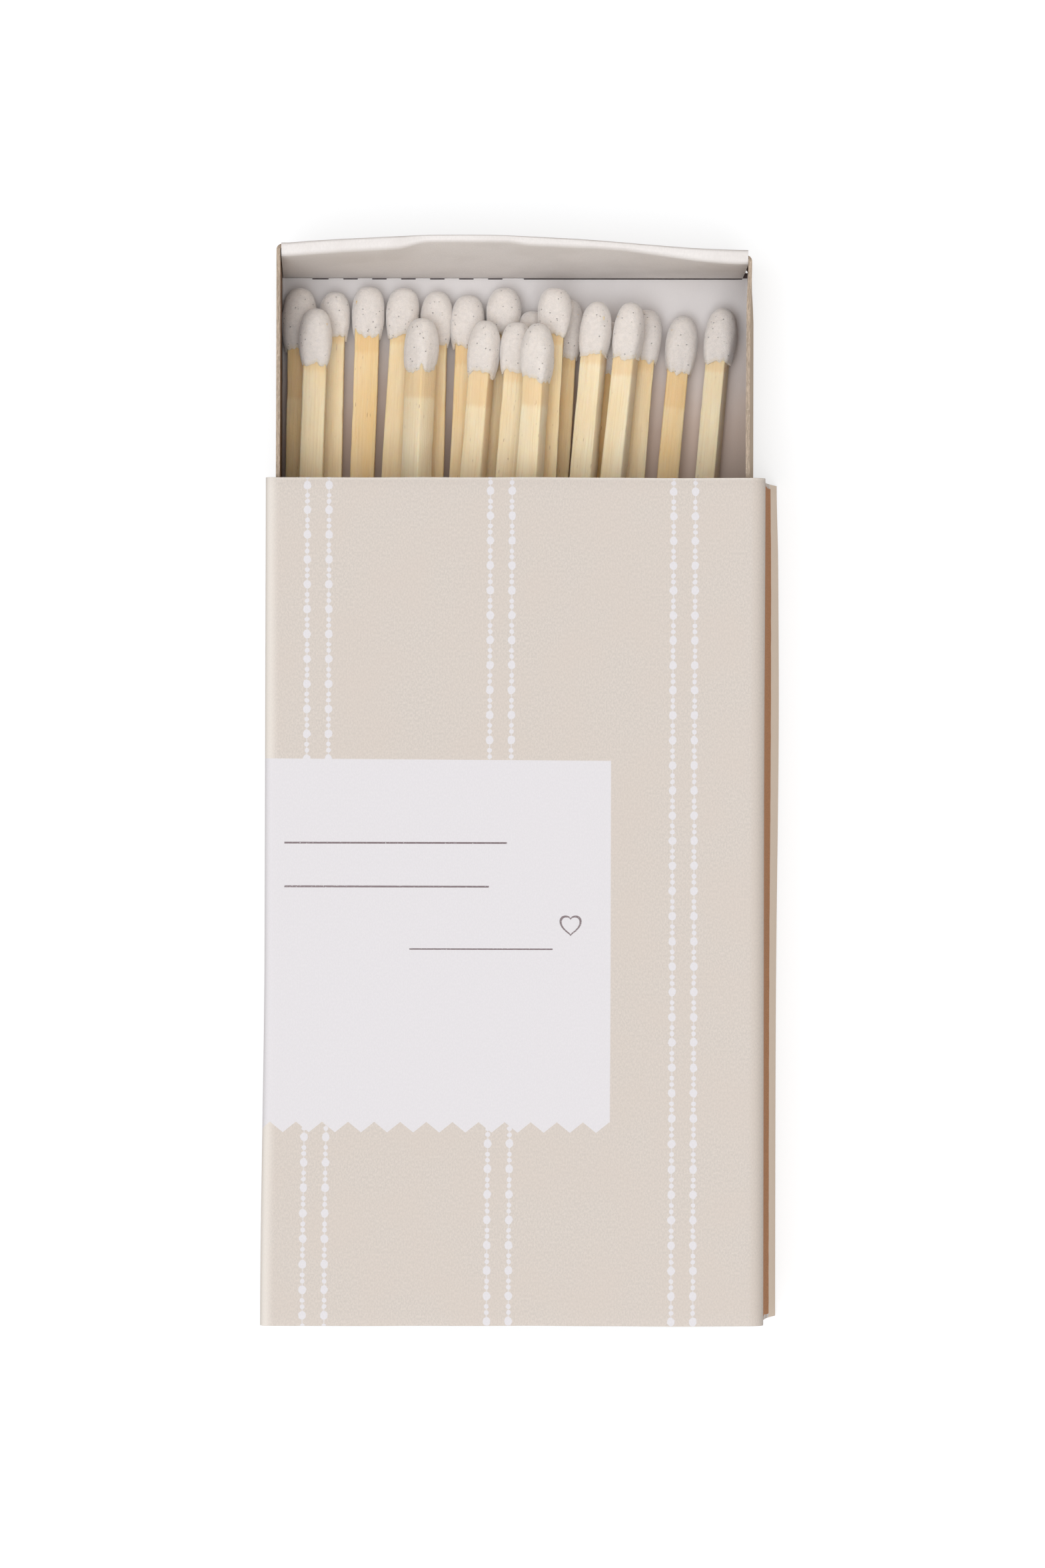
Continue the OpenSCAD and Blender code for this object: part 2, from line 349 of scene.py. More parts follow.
def pinked_label(finish, across, along):
    """Where the label lies: its low edge is cut in teeth."""
    half = TOOTH_PITCH / 2
    tooth = abs((across - TOOTH_START + half) % TOOTH_PITCH - half)
    low_edge = TOOTH_TIP + tooth * (TOOTH_DEPTH / half)
    label = finish.step(across, LABEL_RIGHT + 0.04, LABEL_RIGHT - 0.04)
    label = label * finish.step(across, LABEL_LEFT - 0.05, LABEL_LEFT + 0.05)
    tilted = along - across * LABEL_TILT
    label = label * finish.step(tilted, LABEL_TOP - 0.05, LABEL_TOP + 0.05)
    return label * finish.step(along - low_edge, 0.05, -0.05)


def label_ink(finish, across, along):
    """Where the label's three ruled lines and its outline heart are inked."""
    side = abs(across - HEART_ACROSS) * 0.82
    lift = HEART_ALONG - along - side.power(0.55) * 0.713
    heart = (side * side + lift * lift).power(0.5)
    ink = finish.band(heart, HEART_SIZE, 0.15, 0.08)
    for place, outer, inner, left, right in RULES:
        rule = finish.band(along, place, outer, inner)
        rule = rule * finish.step(across, left - 0.05, left + 0.05)
        ink = ink.at_least(rule * finish.step(across, right + 0.05, right - 0.05))
    return ink


def printed_paper(settings, drop):
    """The sleeve's outside: beaded stripes and a pinked label, printed on warm paper.
    The blank attribute holds the place on the flat blank; drop is where the striker's low
    edge lies across it."""
    finish = Finish.named("printed_paper")
    blank = finish.attribute("blank")
    across, along, _ = finish.parts(blank)

    fibre = finish.cloud(finish.scaled(blank, (1, 0.55, 1)), 5.5, 3, 0.62)
    speck = finish.cloud(blank, 17, 1)
    tone = finish.cloud(blank, 0.12, 2)
    paper = finish.mottled(finish.step(fibre, 0.36, 0.66), settings.paper, 0.93, 1.06)
    paper = finish.blend(finish.step(speck, 0.62, 0.76) * 0.4, paper, shade(settings.paper, 0.8))
    paper = finish.blend(finish.step(tone, 0.3, 0.7) * 0.35, paper,
                         tuple(c * k for c, k in zip(settings.paper, (1.02, 0.985, 0.965))))

    # Painted highlights: a pale band along the rounded left fold and a thin pale line just under
    # the striker's foot; the mouth's edge is made a little paler as well.
    highlights_and_pale_mouth = finish.step(abs(across - 0.1), 1.8, 0.2) * 0.6
    highlights_and_pale_mouth = highlights_and_pale_mouth.at_least(finish.step(abs(along), 0.5, 0.05) * 0.3)
    highlights_and_pale_mouth = highlights_and_pale_mouth.at_least(finish.step(abs(across - drop), 0.3, 0.08) * 0.7)
    # Painted light: the side panel's strip under the striker is made paler and warmer than the
    # plain paper, for the light that falls on it.
    foot = finish.step(across, drop + 0.1, drop + 0.5) * finish.step(across, drop + 8, drop + 5)
    paper = finish.layered(paper, (highlights_and_pale_mouth, (238, 231, 222)),
                           # Painted shade: a darker band on the front's rounded right fold, where
                           # it turns away from the light.
                           (finish.band(across, 63.3, 1.1, 0.5) * 0.3, (200, 187, 175)),
                           (foot * 0.85, (244, 225, 205)))

    printed = stripes(finish, blank, across, along)
    printed = printed.at_least(pinked_label(finish, across, along))
    ink = label_ink(finish, across, along) * finish.step(finish.cloud(blank, 6), 0.25, 0.42)

    white = finish.mottled(finish.step(fibre, 0.4, 0.65), settings.print_white, 0.97, 1)
    base = finish.blend(printed * 0.94, paper, white)
    base = finish.blend(ink * 0.85, base, settings.ink)
    height = fibre * 0.6 + speck * 0.4
    return finish.surface(base, 0.62 + fibre * 0.18, height, 0.00002, specular=0.28)


def plain_board(name, base, deep, shaded_lining=False):
    """Bare or lined board, with fibres and a few darker flecks. On the tray's lining, shade is
    painted in: its floor is greyer than its walls, and it grows darker and warmer towards the
    mouth, for the sleeve's shadow and the warm light that the wood throws back."""
    finish = Finish.named(name)
    place = finish.object_place()
    fibre = finish.cloud(finish.scaled(place, (1, 0.5, 1)), 4.5, 3, 0.6)
    tone = finish.cloud(place, 0.16, 2)
    fleck = finish.cloud(finish.shifted(place, (40, 9, 3)), 3.3, 2)
    board = finish.mottled(finish.step(fibre, 0.35, 0.68), base, 0.95, 1)
    board = finish.blend(finish.step(tone, 0.35, 0.7) * 0.3, board, deep)
    board = finish.blend(finish.step(fleck, 0.68, 0.78) * 0.25, board, deep)
    if shaded_lining:
        # Painted shade: the floor greyer than the walls, and darker and warmer low down towards the
        # mouth, as in the sleeve's shadow among the wood.
        _, along, up = finish.parts(place)
        sleeve_shade = finish.step(along + (tone - 0.5) * 12, 78, 60) * finish.step(up, 8, 1.5)
        board = finish.layered(board, (finish.step(up, 2.2, 1.3) * 0.8, (214, 207, 203)),
                               (sleeve_shade * 0.55, (200, 166, 138)))
    return finish.surface(board, 0.7 + fibre * 0.15, fibre, 0.00002, specular=0.22)


def cut_board(name, base):
    """The cut edge of grey-brown board, whose plies run along the edge."""
    finish = Finish.named(name)
    place = finish.object_place()
    ply = finish.cloud(finish.scaled(place, (5, 0.6, 5)), 2.2, 3, 0.65)
    chip = finish.cloud(place, 2.6, 3, 0.7)
    board = finish.mottled(finish.step(ply, 0.34, 0.66), base, 0.7, 1.12)
    board = finish.blend(finish.step(chip, 0.62, 0.7) * 0.5, board, srgb(226, 214, 196))
    return finish.surface(board, 0.85, ply, 0.00006, specular=0.15)


def gritty_coat(settings):
    """The striker: brown binder full of fine grit, with rubbed streaks."""
    finish = Finish.named("gritty_coat")
    place = finish.object_place()
    grit = finish.cloud(place, 6.5, 3, 0.7)
    sparkle = finish.cloud(finish.shifted(place, (7, 3, 11)), 13, 1)
    streak = finish.cloud(finish.scaled(place, (1, 0.07, 2.4)), 1.3, 3)
    coat = finish.layered(
        finish.mottled(finish.step(grit, 0.3, 0.7), settings.grit, 0.72, 1.2),
        (finish.step(streak, 0.42, 0.7) * 0.35, (172, 133, 108)),
        (finish.step(sparkle, 0.64, 0.72) * 0.6, (206, 178, 150)))
    roughness = 0.9 - finish.step(sparkle, 0.6, 0.7) * 0.35
    return finish.surface(coat, roughness, grit, 0.00009, specular=0.25)


def match_wood(settings):
    """Sawn aspen. The grain attribute holds the place along the stick in millimetres,
    shifted for each stick; tint says how warm that stick is, and waxed how far the wax
    below its head has soaked in."""
    finish = Finish.named("match_wood")
    grain = finish.attribute("grain")
    tint = finish.attribute("tint", "Fac")
    waxed = finish.attribute("waxed", "Fac")
    fibre = finish.cloud(finish.scaled(grain, (2.6, 0.05, 2.6)), 2.0, 4, 0.6)
    line = finish.cloud(finish.scaled(grain, (5.5, 0.09, 5.5)), 2.6, 2, 0.6)
    patch = finish.cloud(finish.scaled(grain, (0.35, 0.09, 0.35)), 1.2, 2)
    saw = finish.cloud(finish.scaled(grain, (1.2, 0.9, 1.2)), 2.2, 3, 0.6)
    fleck = finish.cloud(finish.scaled(grain, (4.0, 0.6, 4.0)), 1.1, 1)

    warmth = (tint + (patch - 0.5) * 0.9).at_least(0).at_most(1)
    soaked = finish.step(waxed + (fibre - 0.5) * 0.8, 0.25, 0.8)
    wood = finish.layered(
        finish.blend(warmth, settings.wood, settings.wood_deep),
        (finish.step(fibre, 0.42, 0.7) * 0.3, (222, 192, 146)),
        (finish.step(line, 0.58, 0.72) * 0.22, (204, 164, 112)),
        (finish.step(line, 0.42, 0.3) * 0.35, (244, 232, 206)),
        (finish.step(fleck, 0.74, 0.8) * 0.5, (156, 108, 70)),
        (soaked * 0.36, (226, 180, 112)))
    height = fibre * 0.7 + saw * 0.5 + line * 0.3
    return finish.surface(wood, 0.72 - soaked * 0.22, height, 0.00011, specular=0.3, sheen=0.15,
                          soak=0.45, soak_colour=(1.0, 0.66, 0.36))


def head_composition(settings):
    """The heads: chalky off-white, full of fine specks and a few open pits. The clay
    attribute holds the place on the head in millimetres, shifted for each head; edge
    says how near the ragged lower edge is."""
    finish = Finish.named("head_composition")
    clay = finish.attribute("clay")
    edge = finish.attribute("edge", "Fac")
    chalk = finish.cloud(clay, 2.1, 3, 0.65)
    speck = finish.cloud(clay, 7.5, 2, 0.6)
    pits = finish.cells(clay, 1.5)
    rare = finish.cloud(finish.shifted(clay, (21, 5, 8)), 0.8, 1)
    hole = finish.step(pits, 0.17, 0.07) * finish.step(rare, 0.44, 0.52)
    fine = finish.cells(clay, 4.2)
    dots = finish.step(fine, 0.2, 0.1) * finish.step(speck, 0.45, 0.62)

    base = finish.mottled(finish.step(chalk, 0.35, 0.65), settings.head, 0.93, 1)
    base = finish.blend(finish.step(speck, 0.56, 0.7) * 0.22, base, srgb(196, 188, 184))
    # Dark grains in the specks, and painted shade in the open pits.
    base = finish.blend((dots * 0.45).at_least(hole * 0.75), base, settings.speck_and_pit_shade)
    base = finish.blend(finish.step(edge + (speck - 0.5) * 0.4, 0.72, 1.0) * 0.45, base,
                        srgb(224, 206, 178))
    height = speck * 0.35 + chalk * 0.4 - hole * 1.1 - dots * 0.5
    return finish.surface(base, 0.68 + chalk * 0.15, height, 0.00013, specular=0.3, sheen=0.5,
                          soak=0.5, soak_colour=(1.0, 0.92, 0.82))


# ---- Mesh helpers ----


def linked(name, data):
    """A new object in the scene."""
    holder = bpy.data.objects.new(name, data)
    bpy.context.scene.collection.objects.link(holder)
    return holder


def mesh_of(name, bm, materials=()):
    """Turns a bmesh into a mesh, and frees it."""
    mesh = bpy.data.meshes.new(name)
    bm.to_mesh(mesh)
    bm.free()
    for material in materials:
        mesh.materials.append(material)
    return mesh


def modify(holder, kind, settings):
    modifier = holder.modifiers.new(kind.title(), kind)
    for key, value in settings.items():
        setattr(modifier, key, value)


def board_of(thickness):
    """Gives a sheet its thickness, behind its printed or lined face."""
    return "SOLIDIFY", {"thickness": thickness, "offset": -1, "use_even_offset": True,
                        "material_offset": 1, "material_offset_rim": 2}


def soft_edges(width):
    """Rounds off a sheet's cut edges, by a width in millimetres."""
    return "BEVEL", {"width": width * MM, "segments": 2, "limit_method": "ANGLE",
                     "angle_limit": math.radians(60), "use_clamp_overlap": True}


def edges_of(geom):
    return [g for g in geom if isinstance(g, bmesh.types.BMEdge)]


def verts_of(geom):
    return [g for g in geom if isinstance(g, bmesh.types.BMVert)]


def finished(name, bm, materials, body, nodes, modifiers=(), crease=38):
    """Turns a bmesh in millimetres into a piece that rides on a body and stands for CAD nodes."""
    bmesh.ops.scale(bm, vec=(MM, MM, MM), verts=bm.verts)
    mesh = mesh_of(name, bm, materials)
    piece = linked(name, mesh)
    for kind, settings in modifiers:
        modify(piece, kind, settings)
    if modifiers:
        depsgraph = bpy.context.evaluated_depsgraph_get()
        mesh = bpy.data.meshes.new_from_object(piece.evaluated_get(depsgraph))
        piece.modifiers.clear()
        piece.data = mesh
    mesh.shade_smooth()
    mesh.set_sharp_from_angle(angle=math.radians(crease))
    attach(piece, body)
    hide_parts(*nodes)
    return piece


def folded(corners, radii, flat_step, turn_steps):
    """Points along a sheet folded at corners, as (across, up) pairs: flats cut into short
    steps, and a round turn of the given radius at each inner corner."""
    points = [Vector(corners[0])]
    for i in range(1, len(corners)):
        end = Vector(corners[i])
        if i < len(corners) - 1:
            before = (Vector(corners[i - 1]) - end).normalized()
            after = (Vector(corners[i + 1]) - end).normalized()
            half = before.angle(after) / 2
            reach = radii[i - 1] / math.tan(half)
            start, stop = end + before * reach, end + after * reach
            centre = end + (before + after).normalized() * radii[i - 1] / math.sin(half)
        else:
            start = end
        run = start - points[-1]
        steps = max(1, round(run.length / flat_step))
        points += [points[-1] + run * (j / steps) for j in range(1, steps + 1)]
        if i < len(corners) - 1:
            first, last = start - centre, stop - centre
            turn = first.angle_signed(last)
            for j in range(1, turn_steps + 1):
                angle = turn * j / turn_steps
                points.append(centre + Matrix.Rotation(-angle, 2) @ first)
    return points


def lengthwise(point, y):
    """A point of a line that runs across the box, at a place along the box."""
    return Vector((point.x, y, point.y))


def drawn_out(bm, points, place, start, stop, steps):
    """Draws a line of points out along the box, or across it, as a sheet of faces, and
    gives its last row."""
    verts = [bm.verts.new(place(p, start)) for p in points]
    edges = [bm.edges.new(pair) for pair in zip(verts, verts[1:])]
    travel = (place(points[0], stop) - place(points[0], start)) / steps
    return bmesh.ops.spin(
        bm, geom=verts + edges, cent=(0, 0, 0), axis=(0, 0, 1), dvec=travel,
        angle=0, steps=steps, use_duplicate=False,
    )["geom_last"]


def running_length(points):
    total, lengths = 0, [0]
    for a, b in zip(points, points[1:]):
        total += (b - a).length
        lengths.append(total)
    return lengths


# ---- Sleeve ----


class Sleeve:
    """Where the sleeve's panels lie, in millimetres, and how the real board strays."""

    def __init__(self, settings):
        low, high = (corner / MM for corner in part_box("sleeve"))
        self.left = low.x
        self.right = -low.x
        self.near, self.far = low.y, high.y
        self.top = high.z
        self.board = settings.board / MM
        self.flare = settings.flare / MM
        self.fold = 0.9
        self.soft_fold = 1.8

    def flare_at(self, y):
        """How far the foot of the striker side flares out, along the box."""
        bulge = 0.36 * hump(22, 24, y)
        pinch = 0.16 * ramp(44, 54, y)
        return self.flare + bulge - pinch

    def strayed(self, co):
        """A point of the square sleeve, moved to where the bent board lies."""
        x, y, z = co
        share = (x - self.left) / (self.right - self.left)
        drop = min(1, max(0, (self.top - 1 - z) / (self.top - 1)))
        out = self.flare_at(y) * drop ** 3 - 0.12 * math.sin(math.pi * drop)
        left_bow = 0.16 - 0.46 * ramp(-4, -54, y)
        right_bow = 0.04 + 0.12 * ramp(10, 54, y)
        crown = 0.16 * math.cos(math.pi * (share - 0.5)) * math.cos(y * math.pi / 130)
        ripple = 0.07 * noise.noise(Vector((x / 22, y / 26, 3.1)))
        lift = crown + ripple if z > self.top / 2 else 0
        end = 0.14 * share * ramp(-40, -54, y)
        end -= 0.1 * noise.noise(Vector((x / 11, 0.4, z / 9))) * ramp(45, 54, abs(y))
        return Vector((
            x + out * share + left_bow * (1 - share) + right_bow * share,
            y + end,
            z + lift,
        ))


def write_blank_places(bm, points, sleeve):
    """Writes each vertex's place on the flat blank, found from its place on the line."""
    layer = bm.verts.layers.float_vector.new("blank")
    lengths = running_length(points)
    front = next(i for i, p in enumerate(points) if p.y > sleeve.top - 0.001 and abs(p.x) < 5)
    shift = lengths[front] + points[front].x - sleeve.left
    known = {(round(p.x, 3), round(p.y, 3)): run for p, run in zip(points, lengths)}
    for vert in bm.verts:
        run = known[(round(vert.co.x, 3), round(vert.co.z, 3))]
        vert[layer] = Vector((shift - run, sleeve.far - vert.co.y, 0))


# How high the striker's low edge is, and how much shorter two round folds make the blank.
STRIKER_FOOT, FOLD_SAVING = 4.6, 1.1


def build_sleeve(settings):
    sleeve = Sleeve(settings)
    inner = sleeve.left + sleeve.board + 0.04
    corners = [
        (inner, settings.lap / MM), (inner, 0), (sleeve.right, 0),
        (sleeve.right, sleeve.top), (sleeve.left, sleeve.top), (sleeve.left, 0.15),
    ]
    radii = [0.6, sleeve.fold, sleeve.soft_fold, sleeve.fold]
    points = folded(corners, radii, 1.5, 7)
    bm = bmesh.new()
    drawn_out(bm, points, lengthwise, sleeve.near, sleeve.far, 72)
    write_blank_places(bm, points, sleeve)
    for vert in bm.verts:
        vert.co = sleeve.strayed(vert.co)
    bmesh.ops.recalc_face_normals(bm, faces=bm.faces)
    if max(bm.faces, key=lambda f: f.calc_center_median().z).normal.z < 0:
        bmesh.ops.reverse_faces(bm, faces=bm.faces)
    drop = (sleeve.right - sleeve.left) + sleeve.top - STRIKER_FOOT - FOLD_SAVING
    materials = [
        printed_paper(settings, drop),
        plain_board("sleeve_inside", settings.inside, srgb(196, 182, 164)),
        cut_board("sleeve_cut_edge", srgb(226, 216, 202)),
    ]
    finished("sleeve_blank", bm, materials, SLEEVE_BODY, ["sleeve"],
             [board_of(settings.board), soft_edges(0.07)])


# ---- Striker ----


# How deep the coat's back lies in the board, in millimetres.
COAT_SUNK = 0.04


def build_striker(settings, sleeve_settings):
    sleeve = Sleeve(sleeve_settings)
    low, high = (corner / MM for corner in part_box("striker_strip"))
    trim = settings.trim / MM
    x = sleeve.right - COAT_SUNK
    points = folded([(x, low.z), (x, high.z)], [], 0.6, 1)
    bm = bmesh.new()
    drawn_out(bm, points, lengthwise, sleeve.near + trim, sleeve.far - trim, 120)
    for vert in bm.verts:
        rag = 0.16 * noise.noise(Vector((vert.co.y / 1.7, vert.co.z / 2.2, 9)))
        if abs(vert.co.y) > sleeve.far - trim - 0.01:
            vert.co.y += rag * 1.6
        if vert.co.z < low.z + 0.01 or vert.co.z > high.z - 0.01:
            vert.co.z += rag
        vert.co = sleeve.strayed(vert.co)
    bmesh.ops.recalc_face_normals(bm, faces=bm.faces)
    bm.faces.ensure_lookup_table()
    if bm.faces[0].normal.x < 0:
        bmesh.ops.reverse_faces(bm, faces=bm.faces)
    thickness = (settings.coat / MM + COAT_SUNK) * MM
    finished("striker_coat", bm, [gritty_coat(settings)], SLEEVE_BODY,
             ["striker_strip"],
             [("SOLIDIFY", {"thickness": thickness, "offset": 1}), soft_edges(0.05)])


# ---- Tray ----


class Tray:
    """Where the tray's panels lie, in millimetres."""

    def __init__(self, settings):
        low, high = (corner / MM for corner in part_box("tray"))
        self.board = settings.board / MM
        self.half = high.x - self.board
        self.floor, self.top = low.z + self.board, high.z
        self.rim = settings.rim / MM
        self.fold = settings.fold / MM
        self.bow = 1.9
        self.near_crease = low.y + self.rim
        self.far_crease = high.y - self.bow - self.rim
        self.end_half = self.half - 0.12

    def push(self, x):
        """How far the open end's rim is pushed outwards, across the tray."""
        tilt = 0.95 * (0.5 - x / 60)
        if x < -4:
            arch = math.sin(math.pi / 2 * max(0, x + 29) / 25)
        else:
            arch = math.cos(math.pi / 2 * min(1, (x + 4) / 33)) ** 1.6
        return tilt + (self.bow - 0.48) * arch

    def rim_width(self, x):
        """The rim's width across the tray: broad at its ends, pinched in the middle."""
        return (1.72 - 0.84 * ramp(-15.5, -11, x) + 0.3 * ramp(-1, 2, x)
                - 0.13 * ramp(3, 12, x) + 0.85 * ramp(13, 28, x))

    def leant(self, co):
        """A point of the side walls, which stand wider at the foot than at the top."""
        up = min(1, max(0, (co.z - self.floor) / (self.top - self.floor)))
        if co.x < 0:
            out = 0.68 - 0.6 * up
        else:
            out = (0.42 - 0.78 * up) * (1 - 0.65 * ramp(self.far_crease - 6, self.far_crease, co.y))
        out *= ramp(0.8 * self.half, self.half, abs(co.x))
        return Vector((co.x + (out if co.x > 0 else -out), co.y, co.z))

    def pushed(self, co):
        """A point beyond the open end's crease, leant out with the end wall."""
        up = (co.z - self.floor) / (self.top - self.floor)
        reach = ramp(0, 0.8, co.y - self.far_crease)
        return Vector((co.x, co.y + self.push(co.x) * max(0, up) ** 1.15 * reach, co.z))


def end_panels(bm, tray, crease, facing):
    """A double end wall as one folded strip: up inside, over the rim, and down outside.
    Facing is 1 at the open end, whose rim is pushed out, and -1 at the other end."""
    height = tray.top - tray.floor
    corners = [(0.02, 0.02), (0.02, height), (tray.rim, height), (tray.rim, -0.45)]
    points = folded(corners, [0.8, 0.6], 1.1, 7)
    width = tray.end_half

    def standing(point, x):
        return Vector((x, crease + facing * point.x, tray.floor + point.y))

    before = set(bm.verts)
    drawn_out(bm, points, standing, -width, width, 64)
    for vert in set(bm.verts) - before:
        x, out, up = vert.co.x, facing * (vert.co.y - crease), (vert.co.z - tray.floor) / height
        if facing > 0:
            inner = 1 - out / tray.rim
            vert.co.y += (tray.rim - tray.rim_width(x)) * inner * max(0, up) ** 1.6
            vert.co.y += tray.push(x) * max(0, up) ** 1.15
            vert.co.x -= 0.4 * (1 - up) * ramp(width - 3, width, x) * inner
            vert.co.z -= 0.12 * hump(-22, 6, x) * inner * up
        if x < 0 or facing < 0:
            vert.co = tray.leant(vert.co)
        ripple = noise.noise(Vector((x / 9, vert.co.z / 8, 2 + out)))
        vert.co.y += 0.09 * ripple * up


def side_walls(bm, tray):
    """Floor and side walls as one folded sheet, with tabs that turn in behind the ends."""
    half, fold = tray.half, tray.fold
    corners = [(-half, tray.top), (-half, tray.floor), (half, tray.floor), (half, tray.top)]
    points = folded(corners, [fold, fold], 1.9, 5)
    near = tray.near_crease
    last = drawn_out(bm, points, lengthwise, near, tray.far_crease - 0.26, 56)
    first = [e for e in bm.edges
             if e.is_boundary and all(abs(v.co.y - near) < 0.01 for v in e.verts)]
    for facing, row, gaps in ((1, edges_of(last), (0.1, 0.14, 0.02, 0.35, 0.35)),
                              (-1, first, (0.35, 0.35))):
        for gap in gaps:
            row = grown_by(bm, row, (0, facing * gap, 0))
        under = [e for e in row if all(v.co.z < tray.floor + 0.01 for v in e.verts)]
        grown_by(bm, under, (0, facing * 0.9, 0))
        for side in (-1, 1):
            wall = [e for e in row if all(
                v.co.x * side > half - 0.01 and v.co.z > tray.floor + fold - 0.01 for v in e.verts)]
            verts = list({v for e in wall for v in e.verts})
            tail = edges_of(bmesh.ops.spin(
                bm, geom=wall + verts, cent=(side * (half - 0.35), verts[0].co.y, 0),
                axis=(0, 0, side * facing), dvec=(0, 0, 0), angle=math.pi / 2, steps=6,
                use_duplicate=False)["geom_last"])
            for _ in range(5):
                tail = grown_by(bm, tail, (-side, 0, 0))


def grown_by(bm, edges, step):
    """Draws a row of edges out by one step and gives the new row."""
    grown = bmesh.ops.extrude_edge_only(bm, edges=edges)["geom"]
    moved = verts_of(grown)
    bmesh.ops.translate(bm, vec=step, verts=moved)
    return [e for e in edges_of(grown) if all(v in moved for v in e.verts)]


# The slits' length, the board left between them, and the tray's material slots.
SLIT, BRIDGE = 1.9, 1.9
# Slot 3 is painted shade for the side walls' inner faces; slot 4 is painted shadow for the slits
# and the floor beyond the creases.
LINED, WALL_SHADE, PAINTED_SHADE = 0, 3, 4


def slit_places(tray):
    """Where the slits through the crease start and end: seven on its left half, and one
    long fine cut on its right half."""
    places = [(-(SLIT + BRIDGE) * i, -(SLIT + BRIDGE) * i + SLIT) for i in range(1, 8)]
    return places + [(0.9, tray.end_half - 0.6)]


def score_slits(bm, tray):
    """Scores the floor across the crease wherever a slit starts or ends."""
    for place in sorted({x for pair in slit_places(tray) for x in pair}):
        faces = [f for f in bm.faces if f.calc_center_median().y > tray.far_crease - 3
                 and f.calc_center_median().z < tray.floor + 0.01 and abs(f.normal.z) > 0.9]
        geom = list({g for f in faces for g in (*f.verts, *f.edges)}) + faces
        bmesh.ops.bisect_plane(bm, geom=geom, plane_co=(place, 0, 0), plane_no=(1, 0, 0))


def sink_slits(bm, tray):
    """Sinks the slits into the board's thickness, and paints their faces dark for the shadow inside
    them.
    """
    far = tray.far_crease
    slots = []
    for face in bm.faces:
        middle = face.calc_center_median()
        if face.normal.z < 0.9 or abs(middle.z - tray.floor) > 0.01:
            continue
        if middle.y < far - 0.15 or middle.y > far - 0.02:
            continue
        if any(left < middle.x < right for left, right in slit_places(tray)):
            slots.append(face)
    grown = bmesh.ops.extrude_face_region(bm, geom=slots)["geom"]
    bmesh.ops.delete(bm, geom=slots, context="FACES")
    verts = verts_of(grown)
    bmesh.ops.translate(bm, vec=(0, 0, -tray.board * 0.86), verts=verts)
    for face in {f for v in verts for f in v.link_faces}:
        # Painted shadow inside the slit.
        face.material_index = PAINTED_SHADE


def paint_shade_inside(bm, tray):
    """Paints shade inside the tray: the side walls' inner faces get a dark brown for the deep shade
    on them, and the floor beyond the creases gets the darkest slot, for the shadow there."""
    for face in bm.faces:
        middle = face.calc_center_median()
        inner_face = abs(abs(middle.x) - tray.half) < 0.8 and face.normal.x * middle.x < 0
        if inner_face and abs(face.normal.x) > 0.6 and face.material_index == LINED:
            if middle.z > tray.floor + 0.5 and middle.y > tray.near_crease:
                # Painted shade on a side wall's inner face.
                face.material_index = WALL_SHADE
        # Painted shadow on the floor beyond the creases.
        if abs(middle.z - tray.floor) < 0.3 and face.normal.z > 0.7:
            if not tray.near_crease < middle.y < tray.far_crease:
                face.material_index = PAINTED_SHADE


def build_tray(settings):
    tray = Tray(settings)
    bm = bmesh.new()
    side_walls(bm, tray)
    score_slits(bm, tray)
    for vert in bm.verts:
        beyond = max(vert.co.y - tray.far_crease, tray.near_crease - vert.co.y)
        if vert.co.y > tray.far_crease + 0.3 and vert.co.z > tray.floor:
            corner = ramp(-tray.half + 1.9, -tray.half + 0.5, vert.co.x)
            vert.co.y += 0.5 * corner * ramp(0.3, 0.7, beyond)
        if vert.co.y > tray.far_crease + 0.01:
            vert.co = tray.pushed(vert.co)
        if beyond > 0.75 and vert.co.z > tray.top - 1.6:
            vert.co.z -= 0.8 * ramp(0.75, 1.3, beyond)
        along = (vert.co.y - tray.near_crease) / (tray.far_crease - tray.near_crease)
        up = (vert.co.z - tray.floor) / (tray.top - tray.floor)
        if 0 < along < 1 and abs(vert.co.x) > tray.half - 0.2:
            wander = noise.noise(Vector((vert.co.y / 17, vert.co.x, 0)))
            vert.co.x += 0.14 * math.sin(math.pi * along) * wander * up
        vert.co = tray.leant(vert.co)
    end_panels(bm, tray, tray.far_crease, 1)
    end_panels(bm, tray, tray.near_crease, -1)
    bmesh.ops.recalc_face_normals(bm, faces=bm.faces)
    turn_inward(bm, Vector((0, (tray.near_crease + tray.far_crease) / 2, tray.top * 0.6)))
    materials = [
        plain_board("tray_liner", settings.liner, srgb(208, 200, 194), shaded_lining=True),
        plain_board("tray_outside", settings.outside, srgb(160, 138, 116)),
        cut_board("tray_cut_edge", settings.cut),
        # Painted shade for the side walls' inner faces.
        plain_board("tray_wall_painted_shade", settings.wall, srgb(112, 90, 72)),
        # Painted shadow for the slits and the floor beyond the creases.
        plain_board("tray_painted_shade", srgb(92, 76, 74), srgb(70, 56, 52)),
    ]
    solid = thickened(bm, tray.board, materials)
    sink_slits(solid, tray)
    paint_shade_inside(solid, tray)
    finished("tray_blank", solid, materials, TRAY_BODY, ["tray"],
             [soft_edges(0.06)])


def thickened(bm, board, materials):
    """Gives a bmesh of sheets the board's thickness, as a new bmesh."""
    holder = linked("in_work", mesh_of("in_work", bm, materials))
    modify(holder, *board_of(board))
    done = bmesh.new()
    done.from_object(holder, bpy.context.evaluated_depsgraph_get())
    mesh = holder.data
    bpy.data.objects.remove(holder)
    bpy.data.meshes.remove(mesh)
    return done


